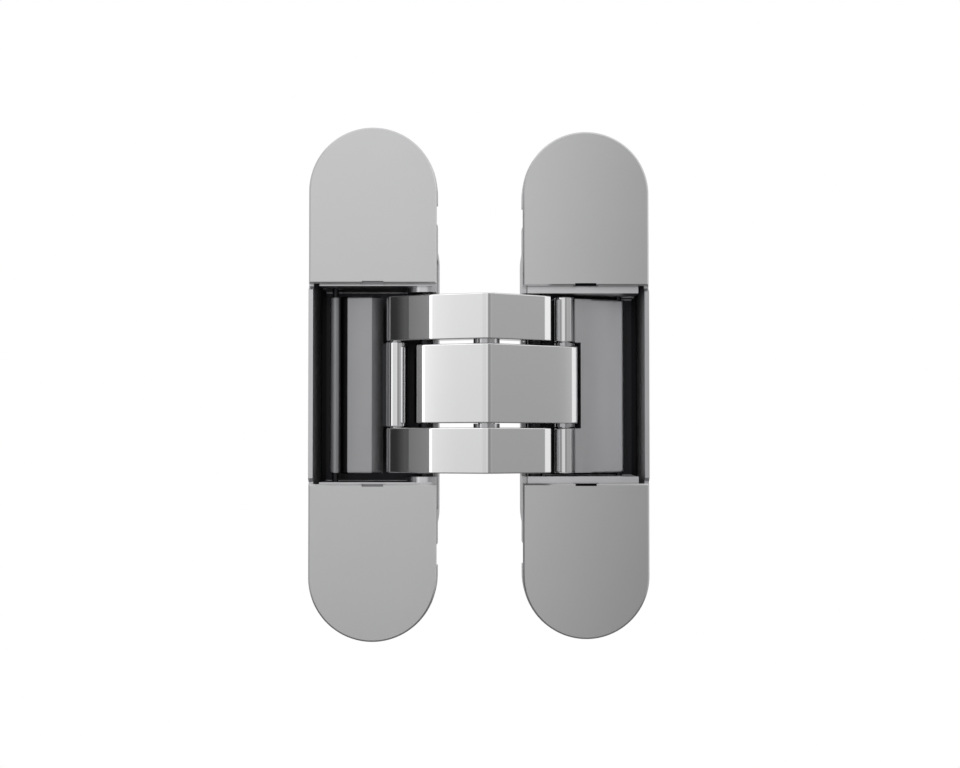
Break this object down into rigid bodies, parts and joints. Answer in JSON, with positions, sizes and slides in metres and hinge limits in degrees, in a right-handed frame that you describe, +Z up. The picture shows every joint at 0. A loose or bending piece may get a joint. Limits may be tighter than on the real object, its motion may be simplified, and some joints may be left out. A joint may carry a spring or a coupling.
{
  "type": "concealed door hinge",
  "caption": "Concealed mortise door hinge with capsule-shaped housings, crossed folding arms on pivot pins, sliding links and clip-on end covers.",
  "frame": {"origin": "midway between the screw holes of the frame half, on the seat faces behind its ends", "axes": "+Z up along the hinge's axis of turn, +Y from the visible faces into the wood, +X from the frame half to the door half; drawn open flat"},
  "size_m": [0.064, 0.0312, 0.096],
  "materials": {
    "cast_body": "satin silver lacquer on die casting",
    "satin_cover": "satin silver lacquer",
    "polished_arm": "polished plate on steel",
    "link_plate": "smooth satin",
    "pin_steel": "ground",
    "plated_screw": "bright zinc plate",
    "bearing_plastic": "self-lubricating plastic"
  },
  "bodies": {
    "frame": {"frame_housing": "cast_body", "frame_carrier": "cast_body", "frame_upper_cover": "satin_cover", "frame_lower_cover": "satin_cover", "frame_clamp_screws": "plated_screw", "frame_clamp_washers": "plated_screw", "frame_side_adjusters": "plated_screw", "frame_arm_pin": "pin_steel"},
    "inner_arm": {"inner_arm": "polished_arm", "inner_arm_bush": "bearing_plastic", "door_knuckle_pin": "pin_steel", "door_knuckle_washers": "pin_steel"},
    "outer_arm": {"upper_outer_arm": "polished_arm", "lower_outer_arm": "polished_arm", "outer_arm_bushes": "bearing_plastic", "centre_pin": "pin_steel", "centre_washers": "pin_steel", "frame_knuckle_pin": "pin_steel"},
    "frame_link": {"frame_link": "link_plate", "frame_link_pin": "pin_steel"},
    "door_link": {"door_link": "link_plate", "door_link_pin": "pin_steel"},
    "door": {"door_housing": "cast_body", "door_carrier": "cast_body", "door_upper_cover": "satin_cover", "door_lower_cover": "satin_cover", "door_clamp_screws": "plated_screw", "door_clamp_washers": "plated_screw", "door_side_adjusters": "plated_screw", "door_arm_pin": "pin_steel"}
  },
  "joints": [
    {"name": "inner_arm_fold", "type": "hinge", "parent": "frame", "child": "inner_arm", "pos_m": [0.00981, -0.00089, 0], "axis": [0, 0, -1], "range_deg": [0, 100.8]},
    {"name": "arm_cross", "type": "hinge", "parent": "inner_arm", "child": "outer_arm", "pos_m": [0.02121, -0.00848, 0], "axis": [0, 0, 1], "range_deg": [-0.5, 22.2]},
    {"name": "door_fold", "type": "hinge", "parent": "outer_arm", "child": "door", "pos_m": [0.03046, 0.00161, 0], "axis": [0, 0, -1], "range_deg": [-0.5, 101.4]},
    {"name": "frame_link_fold", "type": "hinge", "parent": "outer_arm", "child": "frame_link", "pos_m": [0.00419, -0.00187, 0], "axis": [0, 0, 1], "range_deg": [-0.5, 121.2]},
    {"name": "door_link_fold", "type": "hinge", "parent": "inner_arm", "child": "door_link", "pos_m": [0.03616, 0.002, 0], "axis": [0, 0, -1], "range_deg": [-0.5, 121.2]}
  ],
  "couplings": [
    {"joint": "arm_cross", "follows": "inner_arm_fold", "ratio": 0.21429},
    {"joint": "door_fold", "follows": "inner_arm_fold", "ratio": 1},
    {"joint": "frame_link_fold", "follows": "inner_arm_fold", "ratio": 1.1964},
    {"joint": "door_link_fold", "follows": "inner_arm_fold", "ratio": 1.1964}
  ]
}
